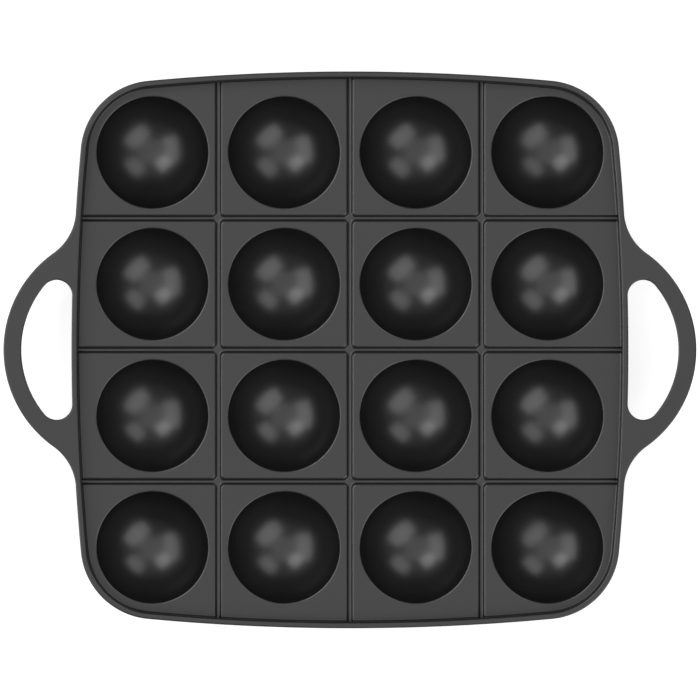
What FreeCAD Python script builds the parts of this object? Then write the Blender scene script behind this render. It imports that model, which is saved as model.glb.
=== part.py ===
# Takoyaki pan with sixteen cups: one die-cast aluminium casting with a non-stick coat.
#
# The casting is drawn whole, then divided into named regions that meet face to face: a cell for
# each cup, cut apart along the channels of the deck, four lengths of rim and two loop handles.
#
# Millimetres, +Z up, +X towards the right handle. The origin is on the table, under the middle.

import FreeCAD, Part

import math
import os

V = FreeCAD.Vector

# Cups
CUP_ROWS = 4
CUP_COLUMNS = 4
CUP_PITCH = 47.1
CUP_MOUTH = 40.0  # diameter in the plane of the deck
CUP_DEPTH = 17.5  # below the deck
CUP_WALL = 3.0
LIP_ROUND = 0.4
FOOT_DIAMETER = 12.0  # the flat under each cup that the pan stands on
BOWL_FILLET = 1.2  # where a bowl runs into the underside of the deck

# Deck, and the channels that part one cup's batter from the next
DECK_THICKNESS = 3.0
CHANNEL_FLOOR = 0.9
CHANNEL_DEPTH = 0.95
CHANNEL_SLOPE = 35.0  # degrees of each side from upright
PAD_CORNER = 1.3  # corner radius of the pads between the channels

# Outline and rim
SIDE_MARGIN = 8.8  # from the mouths of the outer cups to the outside of the pan
SIDE_BOW = 782.0  # radius of the gently bowed sides
CORNER_LAND = 6.5  # added to a cup's radius, it gives the radius of the corners
RIM_HEIGHT = 8.0  # above the deck
RIM_TOP = 2.2
RIM_DRAFT = 1.5  # degrees of the inner wall from upright
RIM_FOOT_FILLET = 0.5
MOUTH_ROUND = 1.0  # inner edge of the rim's top
EDGE_ROUND = 0.6  # outer edge of the rim's top, and the top edges of the handles
UNDER_ROUND = 1.4  # outer edge of the underside

# Handles
HANDLE_REACH = 24.3  # beyond the side of the pan
HANDLE_RADIUS = 42.4  # outside of the loop
HANDLE_BAR = 6.4
HANDLE_THICKNESS = 6.0
HANDLE_BLEND = 19.0  # where the loop runs into the side
FINGER_CORNER = 5.6
HANDLE_UNDER_ROUND = 1.5

# Worked out from the sizes above
CUP_RADIUS = CUP_MOUTH / 2
BALL_RADIUS = (CUP_RADIUS**2 + CUP_DEPTH**2) / (2 * CUP_DEPTH)
BOWL_RADIUS = BALL_RADIUS + CUP_WALL
BALL_Z = math.sqrt(BOWL_RADIUS**2 - (FOOT_DIAMETER / 2) ** 2)
DECK_Z = BALL_Z - BALL_RADIUS + CUP_DEPTH
UNDER_Z = DECK_Z - DECK_THICKNESS
RIM_Z = DECK_Z + RIM_HEIGHT
HANDLE_Z = RIM_Z - HANDLE_THICKNESS

HALF_X = (CUP_COLUMNS - 1) / 2 * CUP_PITCH + CUP_RADIUS + SIDE_MARGIN
HALF_Y = (CUP_ROWS - 1) / 2 * CUP_PITCH + CUP_RADIUS + SIDE_MARGIN
CORNER_RADIUS = CUP_RADIUS + CORNER_LAND
WALL_FOOT = RIM_TOP + RIM_HEIGHT * math.tan(math.radians(RIM_DRAFT))
RIM_BAND = WALL_FOOT + RIM_FOOT_FILLET  # the rim's region ends on the flat of the deck
CHANNEL_SPREAD = math.tan(math.radians(CHANNEL_SLOPE))

TURN_AXIS = V(0, 0, 1)
CLEAR = 1.0  # how far cutting shapes run past the metal
SAME = 0.001  # lengths closer than this are taken as equal


def point_at(centre, towards, distance):
    """The point at a distance from a centre, on the line towards another point."""
    return centre + (towards - centre).normalize() * distance


def meeting_point(centre_a, radius_a, centre_b, radius_b):
    """The point at two distances from two centres, on the side further from the X axis."""
    gap = centre_b - centre_a
    along = (radius_a**2 - radius_b**2 + gap.Length**2) / (2 * gap.Length)
    across = math.sqrt(radius_a**2 - along**2)
    middle = point_at(centre_a, centre_b, along)
    sideways = TURN_AXIS.cross(gap).normalize() * across
    return max(middle + sideways, middle - sideways, key=lambda point: point.y)


def mirrored(point, flip_x, flip_y):
    return V(point.x * flip_x, point.y * flip_y, point.z)


def arc(centre, start, end):
    """The shorter arc about a centre from one point to another."""
    middle = point_at(centre, (start + end) / 2, (start - centre).Length)
    return Part.Arc(start, middle, end).toShape()


def line(start, end):
    return Part.LineSegment(start, end).toShape()


def turned_about(shape):
    """The same shape on the other side of the pan."""
    return shape.rotated(V(0, 0, 0), TURN_AXIS, 180)


def prism(edges, height):
    return Part.Face(Part.Wire(edges)).extrude(V(0, 0, height))


def side_centre(z):
    """Centre of the bowed right side."""
    return V(HALF_X - SIDE_BOW, 0, z)


def loop_centre(z):
    """Centre of the right handle's loop."""
    return V(HALF_X + HANDLE_REACH - HANDLE_RADIUS, 0, z)


def corner_centre(z):
    reach = SIDE_BOW - CORNER_RADIUS
    return meeting_point(side_centre(z), reach, V(0, HALF_Y - SIDE_BOW, z), reach)


def outline(inset, z):
    """Edges round the pan: four bowed sides that run smoothly into four round corners."""
    right = side_centre(z)
    back = V(0, HALF_Y - SIDE_BOW, z)
    corner = corner_centre(z)
    right_end = point_at(right, corner, SIDE_BOW - inset)
    back_end = point_at(back, corner, SIDE_BOW - inset)
    half = [
        arc(right, mirrored(right_end, 1, -1), right_end),
        arc(corner, right_end, back_end),
        arc(back, back_end, mirrored(back_end, -1, 1)),
        arc(mirrored(corner, -1, 1), mirrored(back_end, -1, 1), mirrored(right_end, -1, 1)),
    ]
    return half + [turned_about(edge) for edge in half]


def edges_at(shape, z):
    """The edges of a shape that lie in one level plane."""
    level = []
    for edge in shape.Edges:
        box = edge.BoundBox
        if abs(box.ZMin - z) < SAME and abs(box.ZMax - z) < SAME:
            level.append(edge)
    return level


def handle_edges(z):
    """Outline of the right handle: a round loop, blended into the side at both ends."""
    side = side_centre(z)
    loop = loop_centre(z)
    blend = meeting_point(loop, HANDLE_RADIUS + HANDLE_BLEND, side, SIDE_BOW + HANDLE_BLEND)
    on_loop = point_at(loop, blend, HANDLE_RADIUS)
    on_side = point_at(side, blend, SIDE_BOW)
    inside = on_side - V(WALL_FOOT / 2, 0, 0)
    return [
        line(mirrored(inside, 1, -1), mirrored(on_side, 1, -1)),
        arc(mirrored(blend, 1, -1), mirrored(on_side, 1, -1), mirrored(on_loop, 1, -1)),
        arc(loop, mirrored(on_loop, 1, -1), on_loop),
        arc(blend, on_loop, on_side),
        line(on_side, inside),
        line(inside, mirrored(inside, 1, -1)),
    ]


def finger_hole_edges(z):
    """Outline of the hole for the fingers, between the loop and the side of the pan."""
    side = side_centre(z)
    loop = loop_centre(z)
    inner_radius = HANDLE_RADIUS - HANDLE_BAR
    end = meeting_point(loop, inner_radius - FINGER_CORNER, side, SIDE_BOW + FINGER_CORNER)
    on_loop = point_at(loop, end, inner_radius)
    on_side = point_at(side, end, SIDE_BOW)
    return [
        arc(loop, mirrored(on_loop, 1, -1), on_loop),
        arc(end, on_loop, on_side),
        arc(side, on_side, mirrored(on_side, 1, -1)),
        arc(mirrored(end, 1, -1), mirrored(on_side, 1, -1), mirrored(on_loop, 1, -1)),
    ]


def handle():
    """Right handle, with its edges rounded underneath."""
    plate = prism(handle_edges(HANDLE_Z), HANDLE_THICKNESS)
    plate = plate.cut(prism(finger_hole_edges(HANDLE_Z), HANDLE_THICKNESS))
    round_edges = [edge for edge in edges_at(plate, HANDLE_Z) if edge.Curve.TypeId == "Part::GeomCircle"]
    return plate.makeFillet(HANDLE_UNDER_ROUND, round_edges)


def blank():
    """Slab of the pan and its two handles, with no tray or cups in it yet."""
    slab = prism(outline(0, UNDER_Z), RIM_Z - UNDER_Z)
    slab = slab.makeFillet(UNDER_ROUND, edges_at(slab, UNDER_Z))
    right = handle()
    return slab.fuse([right, turned_about(right)]).removeSplitter()


def mouth():
    """The tray's outline where it opens at the top of the rim."""
    return Part.Wire(outline(RIM_TOP, RIM_Z))


def tray():
    """The space above the deck, inside the drafted wall of the rim."""
    floor = Part.Wire(outline(WALL_FOOT, DECK_Z))
    space = Part.makeLoft([floor, mouth()], True, True)
    return space.makeFillet(RIM_FOOT_FILLET, edges_at(space, DECK_Z))


def top_edges(solid, at_mouth):
    """The edges of the rim's top that lie on the tray's mouth, or all others."""
    chosen = []
    for edge in edges_at(solid, RIM_Z):
        middle = edge.valueAt((edge.FirstParameter + edge.LastParameter) / 2)
        on_mouth = mouth().distToShape(Part.Vertex(middle))[0] < SAME
        if on_mouth == at_mouth:
            chosen.append(edge)
    return chosen


def spun(edges, centre_x, centre_y):
    """A closed half section, drawn in the XZ plane, turned about the upright axis at a centre."""
    solid = Part.Face(Part.Wire(edges)).revolve(V(0, 0, 0), TURN_AXIS, 360)
    solid.translate(V(centre_x, centre_y, 0))
    return solid


def cup_space(centre_x, centre_y):
    """Inside of a cup: a ball's end, with a small round at the lip."""
    ball = V(0, 0, BALL_Z)
    lip_z = DECK_Z - LIP_ROUND
    reach = BALL_RADIUS + LIP_ROUND
    lip = V(math.sqrt(reach**2 - (BALL_Z - lip_z) ** 2), 0, lip_z)
    bottom = V(0, 0, BALL_Z - BALL_RADIUS)
    on_ball = point_at(ball, lip, BALL_RADIUS)
    on_deck = V(lip.x, 0, DECK_Z)
    over_deck = on_deck + V(0, 0, CLEAR)
    axis_top = V(0, 0, DECK_Z + CLEAR)
    edges = [
        arc(ball, bottom, on_ball),
        arc(lip, on_ball, on_deck),
        line(on_deck, over_deck),
        line(over_deck, axis_top),
        line(axis_top, bottom),
    ]
    return spun(edges, centre_x, centre_y)


def bowl(centre_x, centre_y):
    """Outside of a cup: a ball with a flat foot, filleted into the underside of the deck."""
    ball = V(0, 0, BALL_Z)
    fillet_z = UNDER_Z - BOWL_FILLET
    reach = BOWL_RADIUS + BOWL_FILLET
    fillet = V(math.sqrt(reach**2 - (BALL_Z - fillet_z) ** 2), 0, fillet_z)
    foot = V(FOOT_DIAMETER / 2, 0, 0)
    on_ball = point_at(ball, fillet, BOWL_RADIUS)
    on_deck = V(fillet.x, 0, UNDER_Z)
    in_deck = on_deck + V(0, 0, DECK_THICKNESS / 2)
    axis_top = V(0, 0, in_deck.z)
    edges = [
        line(V(0, 0, 0), foot),
        arc(ball, foot, on_ball),
        arc(fillet, on_ball, on_deck),
        line(on_deck, in_deck),
        line(in_deck, axis_top),
        line(axis_top, V(0, 0, 0)),
    ]
    return spun(edges, centre_x, centre_y)


def spread(count):
    """Places of a row of cups, centred on the pan."""
    return [(index - (count - 1) / 2) * CUP_PITCH for index in range(count)]


def between(count):
    """Places of the channels between a row of cups."""
    return [place + CUP_PITCH / 2 for place in spread(count)[:-1]]


def channel(length):
    """Straight channel along Y through the origin, as a bar with sloping sides."""
    floor_half = CHANNEL_FLOOR / 2
    top_half = floor_half + (CHANNEL_DEPTH + CLEAR) * CHANNEL_SPREAD
    floor_z = DECK_Z - CHANNEL_DEPTH
    corners = [
        V(-floor_half, -length / 2, floor_z),
        V(floor_half, -length / 2, floor_z),
        V(top_half, -length / 2, DECK_Z + CLEAR),
        V(-top_half, -length / 2, DECK_Z + CLEAR),
    ]
    return Part.Face(Part.makePolygon(corners + corners[:1])).extrude(V(0, length, 0))


def channel_grid():
    """All channels, with the corners of the pads between them rounded."""
    bars = []
    for x in between(CUP_COLUMNS):
        bar = channel(2 * HALF_Y)
        bar.translate(V(x, 0, 0))
        bars.append(bar)
    for y in between(CUP_ROWS):
        bar = channel(2 * HALF_X).rotated(V(0, 0, 0), TURN_AXIS, 90)
        bar.translate(V(0, y, 0))
        bars.append(bar)
    grid = bars[0].fuse(bars[1:]).removeSplitter()
    crossings = []
    for edge in grid.Edges:
        box = edge.BoundBox
        if min(box.XLength, box.YLength, box.ZLength) > SAME:
            crossings.append(edge)
    grid = grid.makeFillet(PAD_CORNER, crossings)
    floor_z = DECK_Z - CHANNEL_DEPTH
    return grid.common(prism(outline(WALL_FOOT, floor_z - CLEAR), 3 * CLEAR + CHANNEL_DEPTH))


def casting():
    """The whole pan."""
    places = [(x, y) for y in spread(CUP_ROWS) for x in spread(CUP_COLUMNS)]
    solid = blank().cut(tray())
    solid = solid.makeFillet(EDGE_ROUND, top_edges(solid, False))
    solid = solid.makeFillet(MOUTH_ROUND, top_edges(solid, True))
    solid = solid.fuse([bowl(x, y) for x, y in places])
    solid = solid.cut([cup_space(x, y) for x, y in places])
    return solid.cut(channel_grid()).removeSplitter()


def lines_round(count, half):
    """Where a row of cells is cut apart: outside the pan, at each channel, and outside again."""
    return [-half - CLEAR] + between(count) + [half + CLEAR]


def cells(plate):
    """The deck with its cups, cut apart along the channels. Row 1 is at the back, column 1 left."""
    x_lines = lines_round(CUP_COLUMNS, HALF_X)
    y_lines = lines_round(CUP_ROWS, HALF_Y)[::-1]
    found = {}
    for row in range(CUP_ROWS):
        for column in range(CUP_COLUMNS):
            corner = V(x_lines[column], y_lines[row + 1], -CLEAR)
            wide = x_lines[column + 1] - x_lines[column]
            deep = y_lines[row] - y_lines[row + 1]
            box = Part.makeBox(wide, deep, RIM_Z + 2 * CLEAR, corner)
            found[f"cup_r{row + 1}c{column + 1}"] = plate.common(box)
    return found


def rim_sides(ring):
    """The four sides of the rim, mitred at the corners."""
    corner = corner_centre(-CLEAR)
    reach = max(HALF_X - corner.x, HALF_Y - corner.y) + CLEAR
    far = corner + V(reach, reach, 0)
    found = {}
    for name, ends in (
        ("rim_right", ((1, -1), (1, 1))),
        ("rim_back", ((1, 1), (-1, 1))),
        ("rim_left", ((-1, 1), (-1, -1))),
        ("rim_front", ((-1, -1), (1, -1))),
    ):
        first, last = ends
        corners = [
            mirrored(corner, *first),
            mirrored(far, *first),
            mirrored(far, *last),
            mirrored(corner, *last),
        ]
        sides = Part.makePolygon(corners + corners[:1]).Edges
        found[name] = ring.common(prism(sides, RIM_Z + 2 * CLEAR))
    return found


def divided(pan):
    """Every named region of the pan. The handles are what stands out beyond its sides."""
    height = RIM_Z + 2 * CLEAR
    outer = prism(outline(0, -CLEAR), height)
    inner = prism(outline(RIM_BAND, -CLEAR), height)
    handles = pan.cut([outer], SAME).Solids
    left, right = sorted(handles, key=lambda solid: solid.CenterOfMass.x)
    body = pan.common([outer], SAME)
    found = {"handle_left": left, "handle_right": right}
    found.update(rim_sides(body.cut(inner)))
    found.update(cells(body.common(inner)))
    return found


def main():
    os.makedirs("parts", exist_ok=True)
    for name, piece in divided(casting()).items():
        (solid,) = piece.removeSplitter().Solids
        solid.exportStep(f"parts/{name}.step")


main()
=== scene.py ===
"""Looks of a cast takoyaki pan: sixteen ball cups in a gridded deck, an upright rim and two loop handles."""

import math

import bmesh
import bpy
from mathutils import Euler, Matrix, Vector


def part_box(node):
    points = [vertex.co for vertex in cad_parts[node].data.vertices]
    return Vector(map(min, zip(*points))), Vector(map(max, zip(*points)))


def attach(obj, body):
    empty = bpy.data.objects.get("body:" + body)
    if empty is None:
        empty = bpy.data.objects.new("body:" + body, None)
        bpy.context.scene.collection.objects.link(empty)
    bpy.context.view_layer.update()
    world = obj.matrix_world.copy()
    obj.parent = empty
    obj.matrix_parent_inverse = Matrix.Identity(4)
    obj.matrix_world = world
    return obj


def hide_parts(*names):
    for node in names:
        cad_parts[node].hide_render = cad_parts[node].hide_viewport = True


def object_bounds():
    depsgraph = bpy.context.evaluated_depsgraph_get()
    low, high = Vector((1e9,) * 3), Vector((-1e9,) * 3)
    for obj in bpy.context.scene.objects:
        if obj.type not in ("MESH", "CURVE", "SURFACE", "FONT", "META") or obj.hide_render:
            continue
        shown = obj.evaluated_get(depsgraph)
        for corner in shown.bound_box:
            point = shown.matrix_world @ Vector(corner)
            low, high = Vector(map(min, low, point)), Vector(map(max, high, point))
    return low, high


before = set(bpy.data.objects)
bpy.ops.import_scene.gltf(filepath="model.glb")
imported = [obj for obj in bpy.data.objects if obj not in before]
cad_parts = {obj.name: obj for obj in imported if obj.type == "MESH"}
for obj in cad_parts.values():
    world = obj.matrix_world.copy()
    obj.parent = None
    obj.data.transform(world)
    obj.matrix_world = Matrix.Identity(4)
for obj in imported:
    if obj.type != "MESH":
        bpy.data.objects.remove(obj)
cad_low, cad_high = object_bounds()

MM = 0.001

# Grid of cups: row 1 is at the back and column 1 at the left, but loops count both from 0
ROWS = 4
COLUMNS = 4

# Read from the frame
CELL_LOW, CELL_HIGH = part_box("cup_r2c2")
BACK_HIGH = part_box("rim_back")[1]
HANDLE_LOW, HANDLE_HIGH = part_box("handle_right")
PITCH = CELL_HIGH.x - CELL_LOW.x
DECK_Z = CELL_HIGH.z
RIM_Z = BACK_HIGH.z
HALF = BACK_HIGH.y  # from the middle of the pan to the middle of a side
HANDLE_UNDER_Z = HANDLE_LOW.z
HANDLE_END = HANDLE_HIGH.x

# Cups and bowls
CUP_MOUTH = 40.0 * MM
CUP_DEPTH = 17.5 * MM
CUP_WALL = 3.0 * MM
LIP_ROUND = 0.1 * MM  # the tight round at the top of a cup's wall
LIP_EASE = 1.2 * MM  # the wide round that eases it into the deck
LIP_EASE_TURN = math.radians(30)  # how far the wide round turns
FOOT_DIAMETER = 12.0 * MM
BOWL_FILLET = 1.2 * MM

# Deck, with channels and the pads between them
DECK_THICKNESS = 3.0 * MM
CHANNEL_FLOOR = 0.9 * MM
CHANNEL_DEPTH = 0.95 * MM
CHANNEL_SLOPE = math.radians(35)  # each side, from upright
PAD_CORNER = 1.3 * MM
PAD_EDGE_ROUND = 0.45 * MM
CHANNEL_FOOT_ROUND = 0.3 * MM

# Outline and rim
SIDE_BOW = 782.0 * MM
CORNER_RADIUS = 26.5 * MM
RIM_TOP = 2.2 * MM
RIM_DRAFT = math.radians(1.5)
RIM_FOOT_FILLET = 0.5 * MM
MOUTH_ROUND = 0.75 * MM  # inner edge of the rim's top
EDGE_ROUND = 0.6 * MM  # outer edge of the rim's top, and the top edges of the handles
UNDER_ROUND = 1.4 * MM  # outer edge of the underside

# Handles
HANDLE_RADIUS = 42.4 * MM
HANDLE_BAR = 6.4 * MM
HANDLE_BLEND = 19.0 * MM
FINGER_CORNER = 5.6 * MM
HANDLE_UNDER_ROUND = 1.5 * MM
HANDLE_SINK = 0.02 * MM  # the loop runs this far inside the side line, so that they cut each other cleanly
LOW_ROOT = 1.9 * MM  # how far the loop's ends reach into the rim, at the bottom and at the top
HIGH_ROOT = 1.1 * MM

# Worked out from the sizes above
UNDER_Z = DECK_Z - DECK_THICKNESS
CHANNEL_FLOOR_Z = DECK_Z - CHANNEL_DEPTH
CUP_RADIUS = CUP_MOUTH / 2
BALL_RADIUS = (CUP_RADIUS**2 + CUP_DEPTH**2) / (2 * CUP_DEPTH)
BALL_Z = DECK_Z - CUP_DEPTH + BALL_RADIUS
BOWL_RADIUS = BALL_RADIUS + CUP_WALL
WALL_RUN = (RIM_Z - DECK_Z) * math.tan(RIM_DRAFT)
WALL_FOOT = RIM_TOP + WALL_RUN
RIM_BAND = WALL_FOOT + RIM_FOOT_FILLET  # the rim's piece ends on the flat of the deck

# A round between the drafted wall and a level face starts this share of its radius from their edge
WALL_SHARE = math.tan((math.pi / 2 - RIM_DRAFT) / 2)

# How finely the rounds are drawn
SIDE_STEPS = 47
CORNER_STEPS = 40
BLEND_STEPS = 32
LOOP_STEPS = 72
FINGER_STEPS = 28
CUP_TURN_STEPS = 128
BALL_STEPS = 44
LIP_STEPS = 4
LIP_EASE_STEPS = 5
BOWL_STEPS = 36
BOWL_FILLET_STEPS = 6

# Working clearances
PAST = 12.0 * MM  # how far cutting shapes run past the metal
SAME = 1e-6  # lengths closer than this are taken as equal
CLOSE = 0.01 * MM  # a drawn outline's ends meet within this
CREASE = math.radians(20)  # an edge sharper than this is a crease
SMOOTH = math.radians(40)  # an edge less sharp than this is shaded smooth
FLAT = math.radians(0.05)  # faces closer to one plane than this become one

# The Z of a face's normal
LEVEL = 0.9  # at least, on a level face
UPRIGHT = 0.05  # at most, on an upright face
LEANING = 0.01  # at least, on a wall with draft

# Camera and studio
PICTURE_SPAN = 249.9 * MM  # width of the pan's plane that fills the picture
PICTURE_OFFSET = Vector((0.03, -0.045)) * MM  # the middle of the picture, from the middle of the pan
LENS_MM = 600.0
SENSOR_MM = 36.0
LAMP_DISTANCE = 1.2
WORLD_LIGHT = 0.225
FLOOR_WIDTH = 6.0
FLOOR_GLOW = 0.62  # with the paper's own light, this makes white


# ---------------------------------------------------------------- modelling helpers


def deselect_all():
    bpy.ops.object.select_all(action="DESELECT")


def pick(piece):
    """Makes a piece the only selected one, and the active one."""
    deselect_all()
    piece.select_set(True)
    bpy.context.view_layer.objects.active = piece


def edit(piece):
    pick(piece)
    bpy.ops.object.mode_set(mode="EDIT")


def leave_edit():
    bpy.ops.object.mode_set(mode="OBJECT")


def apply_place():
    """Puts the picked piece's place, turn and size into its mesh."""
    bpy.ops.object.transform_apply(location=True, rotation=True, scale=True)


def turn_about_z(piece, angle):
    """Turns the picked piece about the pan's upright axis."""
    piece.rotation_euler.z = angle
    apply_place()


def add_block(name, middle, size):
    deselect_all()
    bpy.ops.mesh.primitive_cube_add(size=1, location=middle, scale=size)
    piece = bpy.context.object
    piece.name = name
    apply_place()
    return piece


def copy_of(piece, name, move=(0, 0, 0)):
    copied = piece.copy()
    copied.data = piece.data.copy()
    copied.name = name
    bpy.context.scene.collection.objects.link(copied)
    pick(copied)
    copied.location = move
    apply_place()
    return copied


def combine(piece, other, operation):
    """Applies a boolean of the other piece to the piece, and deletes the other."""
    modifier = piece.modifiers.new(operation.lower(), "BOOLEAN")
    modifier.operation = operation
    modifier.solver = "MANIFOLD"
    modifier.object = other
    pick(piece)
    bpy.ops.object.modifier_apply(modifier=modifier.name)
    bpy.data.objects.remove(other)


def tidy_mesh(piece):
    """Merges doubles, points all faces outwards and shades the rounds smooth and the flats flat."""
    edit(piece)
    bpy.ops.mesh.select_all(action="SELECT")
    bpy.ops.mesh.remove_doubles(threshold=SAME)
    bpy.ops.mesh.normals_make_consistent(inside=False)
    leave_edit()
    bpy.ops.object.shade_smooth_by_angle(angle=SMOOTH)
    modifier = piece.modifiers.new("weighted", "WEIGHTED_NORMAL")
    modifier.keep_sharp = True
    bpy.ops.object.modifier_apply(modifier=modifier.name)


# ---------------------------------------------------------------- choosing faces and edges


def choose_faces(piece, wanted):
    """Selects the faces of the piece in edit mode for which wanted(face) is true."""
    bpy.ops.mesh.select_mode(type="FACE")
    bpy.ops.mesh.select_all(action="DESELECT")
    mesh = bmesh.from_edit_mesh(piece.data)
    for face in mesh.faces:
        face.select_set(wanted(face))
    bmesh.update_edit_mesh(piece.data)


def choose_edges(piece, wanted):
    """Selects the edges of the piece in edit mode for which wanted(edge) is true."""
    bpy.ops.mesh.select_mode(type="EDGE")
    bpy.ops.mesh.select_all(action="DESELECT")
    mesh = bmesh.from_edit_mesh(piece.data)
    for edge in mesh.edges:
        edge.select_set(wanted(edge))
    bmesh.update_edit_mesh(piece.data)


def faces_up(face):
    return face.normal.z > LEVEL


def is_pan_face(face):
    """True for a level face that covers the middle of the pan."""
    return abs(face.normal.z) > LEVEL and face.calc_area() > HALF**2


def is_open(edge):
    """True for an edge that has a face on one side only."""
    return len(edge.link_faces) == 1


def is_crease(edge):
    return len(edge.link_faces) == 2 and edge.calc_face_angle() > CREASE


def crease_at(edge, z):
    """True for a level crease at height z."""
    return all(abs(vertex.co.z - z) < SAME for vertex in edge.verts) and is_crease(edge)


def rise_of(edge):
    return abs(edge.verts[0].co.z - edge.verts[1].co.z)


def middle_of(edge):
    return (edge.verts[0].co + edge.verts[1].co) / 2


def on_drafted_wall(edge):
    return any(LEANING < face.normal.z < UPRIGHT for face in edge.link_faces)


def on_outer_wall(edge):
    middle = middle_of(edge)
    return any(abs(face.normal.z) < UPRIGHT and face.normal.dot(middle) > 0 for face in edge.link_faces)


def on_slope(edge):
    return any(UPRIGHT < face.normal.z < LEVEL for face in edge.link_faces)


# ---------------------------------------------------------------- drawing


def first_point(name, place):
    """A piece in edit mode that holds one selected point."""
    deselect_all()
    bpy.ops.mesh.primitive_plane_add(size=MM, location=(0, 0, 0))
    piece = bpy.context.object
    piece.name = name
    bpy.ops.object.mode_set(mode="EDIT")
    bpy.ops.mesh.select_mode(type="VERT")
    bpy.ops.mesh.select_all(action="SELECT")
    bpy.ops.mesh.merge(type="CENTER")
    bpy.ops.transform.translate(value=place)
    return piece


def draw_by(move):
    """Draws a straight edge from the selected point."""
    bpy.ops.mesh.extrude_region_move(TRANSFORM_OT_translate={"value": move})


def draw_round(centre, turn, steps, axis=(0, 0, 1)):
    """Draws an arc from the selected point, about a centre. turn is in radians, anticlockwise."""
    bpy.ops.mesh.spin(steps=steps, angle=-turn, center=centre, axis=axis)


def close_outline():
    bpy.ops.mesh.select_all(action="SELECT")
    bpy.ops.mesh.remove_doubles(threshold=CLOSE)
    bpy.ops.mesh.edge_face_add()


def extrude_up(height):
    bpy.ops.mesh.extrude_region_move(TRANSFORM_OT_translate={"value": (0, 0, height)})
    bpy.ops.mesh.select_all(action="SELECT")
    bpy.ops.mesh.normals_make_consistent(inside=False)


def inset(thickness, depth=0.0):
    bpy.ops.mesh.inset(thickness=thickness, depth=depth, use_even_offset=True, use_boundary=True)


def round_edges(size, steps):
    """Rounds the selected edges."""
    # with loop slide, new points at the handles' roots could slide until the top face crosses itself
    bpy.ops.mesh.bevel(
        offset_type="OFFSET",
        offset=size,
        segments=steps,
        profile=0.5,
        affect="EDGES",
        clamp_overlap=False,
        loop_slide=False,
    )


def meeting_point(centre_a, radius_a, centre_b, radius_b):
    """Of the two points at these distances from two centres, the one with the higher Y."""
    gap = centre_b - centre_a
    along = (radius_a**2 - radius_b**2 + gap.length_squared) / (2 * gap.length)
    across = math.sqrt(radius_a**2 - along**2)
    middle = centre_a + gap.normalized() * along
    sideways = Vector((-gap.y, gap.x)).normalized() * across
    return max(middle + sideways, middle - sideways, key=lambda point: point.y)


def bearing(centre, point):
    """Direction from a centre to a point, in radians anticlockwise from +X."""
    return math.atan2(point.y - centre.y, point.x - centre.x)


# ---------------------------------------------------------------- the rim with its handles

SIDE_CENTRE = Vector((HALF - SIDE_BOW, 0))
BACK_CENTRE = Vector((0, HALF - SIDE_BOW))
CORNER_CENTRE = meeting_point(SIDE_CENTRE, SIDE_BOW - CORNER_RADIUS, BACK_CENTRE, SIDE_BOW - CORNER_RADIUS)
SIDE_TURN = bearing(SIDE_CENTRE, CORNER_CENTRE)  # half the angle of the side's arc

LOOP_CENTRE = Vector((HANDLE_END - HANDLE_RADIUS, 0))
LOOP_INSIDE = HANDLE_RADIUS - HANDLE_BAR
LOOP_SIDE = SIDE_BOW - HANDLE_SINK
BLEND_CENTRE = meeting_point(
    LOOP_CENTRE, HANDLE_RADIUS + HANDLE_BLEND, SIDE_CENTRE, LOOP_SIDE + HANDLE_BLEND
)
FINGER_CENTRE = meeting_point(
    LOOP_CENTRE, LOOP_INSIDE - FINGER_CORNER, SIDE_CENTRE, LOOP_SIDE + FINGER_CORNER
)
BLEND_TURN = bearing(SIDE_CENTRE, BLEND_CENTRE)
FINGER_TURN = bearing(SIDE_CENTRE, FINGER_CENTRE)


def on_side(turn):
    """The point where a round of the loop touches the side, at an angle about the side's centre."""
    return SIDE_CENTRE + Vector((math.cos(turn), math.sin(turn))) * LOOP_SIDE


def distance_from_side_centre(place):
    """In plan, from the centre of the right side's bow."""
    return math.hypot(place.x - SIDE_CENTRE.x, place.y - SIDE_CENTRE.y)


def beyond_side(edge):
    """True for an edge of the right handle that isn't sunk in the rim."""
    return distance_from_side_centre(middle_of(edge)) > LOOP_SIDE - CLOSE


def in_root(edge):
    """True for an edge of the right handle that lies wholly in the rim, away from the side line."""
    return all(distance_from_side_centre(vertex.co) < SIDE_BOW - HIGH_ROOT for vertex in edge.verts)


def quarter_turned(point, quarter, z):
    """A point of the plan turned by quarters about the middle, at height z."""
    turned_point = Vector((point.x, point.y, z))
    turned_point.rotate(Euler((0, 0, quarter * math.pi / 2)))
    return turned_point


def pan_outline(z):
    """Outline of the pan without its handles, as one flat face."""
    start = SIDE_CENTRE + Vector((math.cos(SIDE_TURN), -math.sin(SIDE_TURN))) * SIDE_BOW
    piece = first_point("rim_and_handles", (start.x, start.y, z))
    for quarter in range(4):
        draw_round(quarter_turned(SIDE_CENTRE, quarter, z), 2 * SIDE_TURN, SIDE_STEPS)
        draw_round(quarter_turned(CORNER_CENTRE, quarter, z), math.pi / 2 - 2 * SIDE_TURN, CORNER_STEPS)
    close_outline()
    return piece


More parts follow.
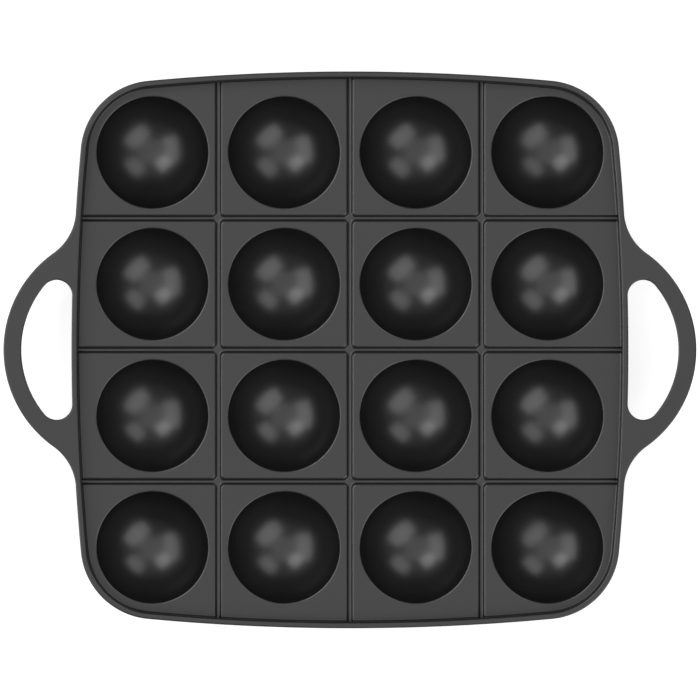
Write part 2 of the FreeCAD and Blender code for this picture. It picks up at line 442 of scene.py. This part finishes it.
def rim_ring():
    """The rim: a ring with a drafted inner wall. Returns it, and the slab that fills it."""
    # a block is opened underneath, and its top steps in to the wall, down the wall and onto the deck
    ring = pan_outline(UNDER_Z)
    extrude_up(RIM_Z - UNDER_Z)
    choose_faces(ring, lambda face: is_pan_face(face) and face.normal.z < 0)
    inset(RIM_BAND)
    bpy.ops.mesh.delete(type="FACE")
    choose_faces(ring, is_pan_face)
    inset(RIM_TOP)
    inset(WALL_RUN, DECK_Z - RIM_Z)
    inset(RIM_FOOT_FILLET)
    bpy.ops.mesh.separate(type="SELECTED")
    leave_edit()
    slab = [other for other in bpy.context.selected_objects if other != ring][0]
    slab.name = "slab"

    edit(ring)
    choose_edges(ring, is_open)
    bpy.ops.mesh.bridge_edge_loops()
    choose_edges(ring, lambda edge: crease_at(edge, DECK_Z) and on_drafted_wall(edge))
    round_edges(RIM_FOOT_FILLET * WALL_SHARE, steps=6)
    choose_edges(ring, lambda edge: crease_at(edge, RIM_Z) and not on_outer_wall(edge))
    round_edges(MOUTH_ROUND * WALL_SHARE, steps=8)
    choose_edges(ring, lambda edge: crease_at(edge, UNDER_Z) and on_outer_wall(edge))
    round_edges(UNDER_ROUND, steps=8)
    leave_edit()

    edit(slab)
    bpy.ops.mesh.select_all(action="SELECT")
    bpy.ops.transform.translate(value=(0, 0, -PAST - DECK_Z))
    extrude_up(RIM_Z + 2 * PAST)
    leave_edit()
    return ring, slab


def handle_loop():
    """The right handle: a flat bar bent to a loop, its ends blended into the side and run into the rim."""
    z = HANDLE_UNDER_Z
    loop_half = bearing(LOOP_CENTRE, BLEND_CENTRE)
    blend_sweep = loop_half - BLEND_TURN
    finger_half = bearing(LOOP_CENTRE, FINGER_CENTRE)
    finger_sweep = math.pi - finger_half + FINGER_TURN
    blend_high = on_side(BLEND_TURN)
    finger_high = on_side(FINGER_TURN)
    leg = (finger_high.x - blend_high.x, blend_high.y - finger_high.y)  # across the end of the bar

    # the outside of the loop, from front to back
    piece = first_point("handle_loop", (blend_high.x - LOW_ROOT, -blend_high.y, z))
    draw_by((LOW_ROOT, 0, 0))
    draw_round((BLEND_CENTRE.x, -BLEND_CENTRE.y, z), -blend_sweep, BLEND_STEPS)
    draw_round((LOOP_CENTRE.x, 0, z), 2 * loop_half, LOOP_STEPS)
    draw_round((BLEND_CENTRE.x, BLEND_CENTRE.y, z), -blend_sweep, BLEND_STEPS)
    draw_by((-LOW_ROOT, 0, 0))

    # across the back end, and the finger hole's side of the loop from back to front
    draw_by((leg[0], -leg[1], 0))
    draw_by((LOW_ROOT, 0, 0))
    draw_round((FINGER_CENTRE.x, FINGER_CENTRE.y, z), -finger_sweep, FINGER_STEPS)
    draw_round((LOOP_CENTRE.x, 0, z), -2 * finger_half, LOOP_STEPS)
    draw_round((FINGER_CENTRE.x, -FINGER_CENTRE.y, z), -finger_sweep, FINGER_STEPS)
    draw_by((-LOW_ROOT, 0, 0))
    draw_by((-leg[0], -leg[1], 0))
    close_outline()
    extrude_up(RIM_Z - z)

    # the root leans back, to stay inside the rim where its mouth is rounded
    choose_edges(piece, lambda edge: crease_at(edge, RIM_Z) and in_root(edge))
    bpy.ops.transform.translate(value=(LOW_ROOT - HIGH_ROOT, 0, 0))
    choose_edges(piece, lambda edge: crease_at(edge, z) and beyond_side(edge))
    round_edges(HANDLE_UNDER_ROUND, steps=6)
    leave_edit()
    return piece


def channel_end(along_y, place):
    """A bar the shape of a channel, from wall to wall of the rim, to cut its ends through the rim's foot."""
    half = SIDE_CENTRE.x + math.sqrt((SIDE_BOW - WALL_FOOT) ** 2 - place**2)
    height = 2 * CHANNEL_DEPTH
    middle = (place, 0, CHANNEL_FLOOR_Z + height / 2)
    piece = add_block("channel_bar", middle, (CHANNEL_FLOOR, 2 * half, height))
    edit(piece)
    choose_faces(piece, faces_up)
    wider = 1 + 2 * height * math.tan(CHANNEL_SLOPE) / CHANNEL_FLOOR
    bpy.ops.transform.resize(value=(wider, 1, 1))
    leave_edit()
    if not along_y:
        turn_about_z(piece, math.pi / 2)
    return piece


def rim_with_handles(outside):
    """The whole frame round the cups, and the slab that fills it."""
    ring, slab = rim_ring()
    right = handle_loop()
    left = copy_of(right, "left_handle_loop")
    turn_about_z(left, math.pi)
    combine(ring, right, "UNION")
    combine(ring, left, "UNION")

    # the top of the rim and the handles is made one face, so that its whole edge is rounded in one go
    edit(ring)
    bpy.ops.mesh.select_all(action="SELECT")
    bpy.ops.mesh.dissolve_degenerate(threshold=SAME)
    choose_faces(ring, lambda face: faces_up(face) and face.calc_center_median().z > RIM_Z - SAME)
    bpy.ops.mesh.dissolve_limited(angle_limit=FLAT)
    choose_edges(ring, lambda edge: crease_at(edge, RIM_Z))
    round_edges(EDGE_ROUND, steps=5)
    leave_edit()

    # the pan is square, so the channels that run across are those that run along, turned
    for index in range(1, COLUMNS):
        for along_y in (True, False):
            combine(ring, channel_end(along_y, (index - COLUMNS / 2) * PITCH), "DIFFERENCE")

    # the bowls of the corner cups reach a little under the rim
    for row in (0, ROWS - 1):
        for column in (0, COLUMNS - 1):
            crescent = copy_of(outside, "crescent", cup_centre(row, column))
            combine(crescent, copy_of(slab, "slab_copy"), "DIFFERENCE")
            combine(ring, crescent, "UNION")
    tidy_mesh(ring)
    return ring, slab


# ---------------------------------------------------------------- the cups


def cup_centre(row, column):
    return Vector(((column - (COLUMNS - 1) / 2) * PITCH, ((ROWS - 1) / 2 - row) * PITCH, 0))


def turned(name, first, arcs, lift):
    """A round body: a point, swung in the XZ plane about centres, then lifted and turned about Z."""
    piece = first_point(name, first)
    for centre, turn, steps in arcs:
        draw_round(centre, turn, steps, axis=(0, 1, 0))
    draw_by((0, 0, lift))
    bpy.ops.mesh.select_all(action="SELECT")
    bpy.ops.mesh.spin(steps=CUP_TURN_STEPS, angle=math.tau, center=(0, 0, 0), axis=(0, 0, 1))
    bpy.ops.mesh.select_all(action="SELECT")
    bpy.ops.mesh.remove_doubles(threshold=SAME)
    choose_edges(piece, lambda edge: is_open(edge) and rise_of(edge) < SAME)
    bpy.ops.mesh.fill_holes(sides=0)
    bpy.ops.mesh.select_all(action="SELECT")
    bpy.ops.mesh.normals_make_consistent(inside=False)
    leave_edit()
    return piece


def cup_space():
    """Inside of a cup: a ball's end, then a tight round that eases into the deck by a wider one."""
    ease_z = DECK_Z - LIP_EASE
    lip_z = ease_z + (LIP_EASE - LIP_ROUND) * math.cos(LIP_EASE_TURN)
    lip_x = math.sqrt((BALL_RADIUS + LIP_ROUND) ** 2 - (BALL_Z - lip_z) ** 2)
    ease_x = lip_x + (LIP_EASE - LIP_ROUND) * math.sin(LIP_EASE_TURN)
    swing = math.atan2(lip_x, BALL_Z - lip_z)
    arcs = [
        ((0, 0, BALL_Z), -swing, BALL_STEPS),
        ((lip_x, 0, lip_z), swing - LIP_EASE_TURN, LIP_STEPS),
        ((ease_x, 0, ease_z), LIP_EASE_TURN, LIP_EASE_STEPS),
    ]
    return turned("cup_space", (0, 0, BALL_Z - BALL_RADIUS), arcs, PAST)


def bowl():
    """Outside of a cup: a ball with a flat foot, filleted into the underside of the deck."""
    fillet_z = UNDER_Z - BOWL_FILLET
    fillet_x = math.sqrt((BOWL_RADIUS + BOWL_FILLET) ** 2 - (BALL_Z - fillet_z) ** 2)
    foot_turn = math.atan2(FOOT_DIAMETER / 2, BALL_Z)
    swing = math.atan2(fillet_x, BALL_Z - fillet_z)
    arcs = [
        ((0, 0, BALL_Z), foot_turn - swing, BOWL_STEPS),
        ((fillet_x, 0, fillet_z), swing, BOWL_FILLET_STEPS),
    ]
    return turned("bowl", (FOOT_DIAMETER / 2, 0, 0), arcs, DECK_THICKNESS / 3)


def cell_edges(index, count):
    """Both ends of a cell along one axis. Outer ones run on past the pan, to be cut by the rim's outline."""
    low = -HALF - PAST if index == 0 else (index - count / 2) * PITCH
    high = HALF + PAST if index == count - 1 else (index + 1 - count / 2) * PITCH
    return low, high


def pad_block(name, x_edges, y_edges):
    """The deck of one cell: a plate with a pad raised on it, so that its border is half a channel."""
    middle = (sum(x_edges) / 2, sum(y_edges) / 2, (UNDER_Z + CHANNEL_FLOOR_Z) / 2)
    size = (x_edges[1] - x_edges[0], y_edges[1] - y_edges[0], CHANNEL_FLOOR_Z - UNDER_Z)
    piece = add_block(name, middle, size)
    edit(piece)
    choose_faces(piece, faces_up)
    inset(CHANNEL_FLOOR / 2)
    inset(CHANNEL_DEPTH * math.tan(CHANNEL_SLOPE), CHANNEL_DEPTH)
    choose_edges(piece, lambda edge: abs(rise_of(edge) - CHANNEL_DEPTH) < SAME)
    round_edges(PAD_CORNER, steps=6)
    choose_edges(piece, lambda edge: crease_at(edge, DECK_Z))
    round_edges(PAD_EDGE_ROUND, steps=3)
    choose_edges(piece, lambda edge: crease_at(edge, CHANNEL_FLOOR_Z) and on_slope(edge))
    round_edges(CHANNEL_FOOT_ROUND, steps=3)
    leave_edit()
    return piece


def cup_cell(row, column, slab, space, outside):
    """A cup with its share of the deck."""
    name = f"cup_cell_r{row + 1}c{column + 1}"
    cell = pad_block(name, cell_edges(column, COLUMNS), cell_edges(ROWS - 1 - row, ROWS))
    combine(cell, copy_of(outside, "bowl_copy", cup_centre(row, column)), "UNION")
    combine(cell, copy_of(space, "space_copy", cup_centre(row, column)), "DIFFERENCE")
    if row in (0, ROWS - 1) or column in (0, COLUMNS - 1):
        combine(cell, copy_of(slab, "slab_copy"), "INTERSECT")
    tidy_mesh(cell)
    return cell


# ---------------------------------------------------------------- the coat


def linear(hex_colour):
    """An sRGB hex colour as linear RGBA."""
    channels = [int(hex_colour[i : i + 2], 16) / 255 for i in (1, 3, 5)]
    return [c / 12.92 if c <= 0.04045 else ((c + 0.055) / 1.055) ** 2.4 for c in channels] + [1.0]


def add_node(material, kind, settings=None, links=None):
    """Adds a node. settings gives its own settings or its inputs' values, and links its inputs' sources.

    An input goes by its name, or by its number where several share one name.
    """
    node = material.node_tree.nodes.new(kind)
    for name, value in (settings or {}).items():
        if hasattr(node, name):
            setattr(node, name, value)
        else:
            node.inputs[name].default_value = value
    for name, source in (links or {}).items():
        material.node_tree.links.new(source, node.inputs[name])
    return node


def new_material(name):
    material = bpy.data.materials.new(name)
    material.use_nodes = True
    material.node_tree.nodes.clear()
    return material


def spread(material, noise, low, high):
    """A noise's usual values, about 0.3 to 0.7, spread from low to high."""
    settings = {"From Min": 0.3, "From Max": 0.7, "To Min": low, "To Max": high}
    return add_node(material, "ShaderNodeMapRange", settings, {"Value": noise.outputs[0]}).outputs[0]


def non_stick_coat():
    """Non-stick coat, sprayed and baked on a shot-blasted aluminium casting.

    The real one is PTFE in a polyamide-imide binder, black with carbon. It gives the eye a near-black body
    under a broad satin sheen with soft highlights, a fine even grain from the blasting, and a sheen that
    varies a little where the spray lies thicker. Its index of 1.66 is the binder's, which forms its skin.
    """
    grain_size = 0.6 * MM  # the real grain, about 0.1 mm, is too fine to show, so it is drawn coarser
    grain_height = 0.02 * MM
    spray_patch = 18.0 * MM

    material = new_material("ptfe_coat_on_cast_aluminium")
    place = add_node(material, "ShaderNodeTexCoord").outputs["Object"]
    grain = add_node(
        material, "ShaderNodeTexNoise", {"Scale": 1 / grain_size, "Detail": 3.0}, {"Vector": place}
    )
    film = add_node(
        material, "ShaderNodeTexNoise", {"Scale": 1 / spray_patch, "Detail": 2.0}, {"Vector": place}
    )
    body = add_node(
        material,
        "ShaderNodeMixRGB",
        {"Color1": linear("#111111"), "Color2": linear("#171717")},
        {"Fac": spread(material, grain, 0.0, 1.0)},
    )
    bump = add_node(
        material, "ShaderNodeBump", {"Strength": 0.1, "Distance": grain_height}, {"Height": grain.outputs[0]}
    )
    shader = add_node(
        material,
        "ShaderNodeBsdfPrincipled",
        {"IOR": 1.66},
        {
            "Base Color": body.outputs[0],
            "Roughness": spread(material, film, 0.28, 0.32),
            "Normal": bump.outputs["Normal"],
        },
    )
    add_node(material, "ShaderNodeOutputMaterial", links={"Surface": shader.outputs["BSDF"]})
    return material


# ---------------------------------------------------------------- the studio


def floor_material():
    """Matt white paper. To the camera, in gloss and in glass it also glows to a clean white."""
    material = new_material("matt_white_sweep")
    path = add_node(material, "ShaderNodeLightPath").outputs
    paper = add_node(material, "ShaderNodeBsdfDiffuse", {"Color": linear("#e8e8e8")}).outputs[0]
    glow = add_node(material, "ShaderNodeEmission", {"Strength": FLOOR_GLOW}).outputs[0]
    both = add_node(material, "ShaderNodeAddShader", links={0: paper, 1: glow}).outputs[0]
    larger = {"operation": "MAXIMUM"}
    glossy_or_glass = {0: path["Is Glossy Ray"], 1: path["Is Transmission Ray"]}
    reflected = add_node(material, "ShaderNodeMath", larger, glossy_or_glass).outputs[0]
    seen = add_node(material, "ShaderNodeMath", larger, {0: path["Is Camera Ray"], 1: reflected}).outputs[0]
    mix = add_node(material, "ShaderNodeMixShader", links={0: seen, 1: paper, 2: both}).outputs[0]
    add_node(material, "ShaderNodeOutputMaterial", links={"Surface": mix})
    return material


def add_floor():
    deselect_all()
    bpy.ops.mesh.primitive_plane_add(size=FLOOR_WIDTH, location=(0, 0, cad_low.z))
    floor = bpy.context.object
    floor.name = "floor"
    floor.data.materials.append(floor_material())


def add_world():
    world = bpy.data.worlds.new("studio")
    world.use_nodes = True
    background = world.node_tree.nodes["Background"]
    background.inputs["Color"].default_value = (1.0, 1.0, 1.0, 1.0)
    background.inputs["Strength"].default_value = WORLD_LIGHT
    bpy.context.scene.world = world


def add_softbox(name, azimuth, from_zenith, tall, wide, radiance):
    """A lamp that faces the middle of the pan.

    azimuth, anticlockwise from +X, and from_zenith are in degrees. tall and wide are shares of its distance.
    """
    lamp = bpy.data.lights.new(name, "AREA")
    lamp.shape = "RECTANGLE"
    lamp.size = tall * LAMP_DISTANCE
    lamp.size_y = wide * LAMP_DISTANCE
    lamp.energy = radiance * math.pi * lamp.size * lamp.size_y
    holder = bpy.data.objects.new(name, lamp)
    bpy.context.scene.collection.objects.link(holder)
    turn = Euler((0, math.radians(from_zenith), math.radians(azimuth)))
    towards = Vector((0, 0, 1))
    towards.rotate(turn)
    holder.location = towards * LAMP_DISTANCE
    holder.rotation_euler = turn
    holder.visible_camera = False


def add_lamps():
    add_softbox("softbox_overhead", azimuth=0, from_zenith=0, tall=0.92, wide=0.92, radiance=0.78)
    add_softbox("softbox_back_left", azimuth=134, from_zenith=35, tall=0.44, wide=0.44, radiance=2.85)
    add_softbox("softbox_left", azimuth=185, from_zenith=43, tall=0.58, wide=0.94, radiance=1.74)
    add_softbox("softbox_low_left", azimuth=183, from_zenith=79, tall=0.24, wide=0.5, radiance=4.4)
    add_softbox("softbox_front_right", azimuth=-46, from_zenith=44, tall=0.62, wide=0.9, radiance=1.78)
    add_softbox("softbox_back_right", azimuth=45, from_zenith=47, tall=0.52, wide=0.64, radiance=1.55)


def add_camera():
    camera = bpy.data.cameras.new("camera")
    camera.lens = LENS_MM
    camera.sensor_width = SENSOR_MM
    holder = bpy.data.objects.new("camera", camera)
    bpy.context.scene.collection.objects.link(holder)
    distance = PICTURE_SPAN * LENS_MM / SENSOR_MM
    holder.location = (PICTURE_OFFSET.x, PICTURE_OFFSET.y, RIM_Z + distance)
    camera.clip_start = distance / 10
    camera.clip_end = distance * 10
    bpy.context.scene.camera = holder


# ---------------------------------------------------------------- the pan


def finish_piece(piece, coat, *nodes):
    """Puts the coat on a piece, hangs it on the root body and hides the nodes of the frame whose place it
    takes.
    """
    piece.data.materials.clear()
    piece.data.materials.append(coat)
    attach(piece, "root")
    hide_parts(*nodes)


def add_pan(coat):
    space = cup_space()
    outside = bowl()
    rim, slab = rim_with_handles(outside)
    finish_piece(rim, coat, "rim_front", "rim_back", "rim_left", "rim_right", "handle_left", "handle_right")
    for row in range(ROWS):
        for column in range(COLUMNS):
            cell = cup_cell(row, column, slab, space, outside)
            finish_piece(cell, coat, f"cup_r{row + 1}c{column + 1}")
    for tool in (space, outside, slab):
        bpy.data.objects.remove(tool)


bpy.context.scene.view_settings.view_transform = "Standard"
add_pan(non_stick_coat())
add_floor()
add_world()
add_lamps()
add_camera()
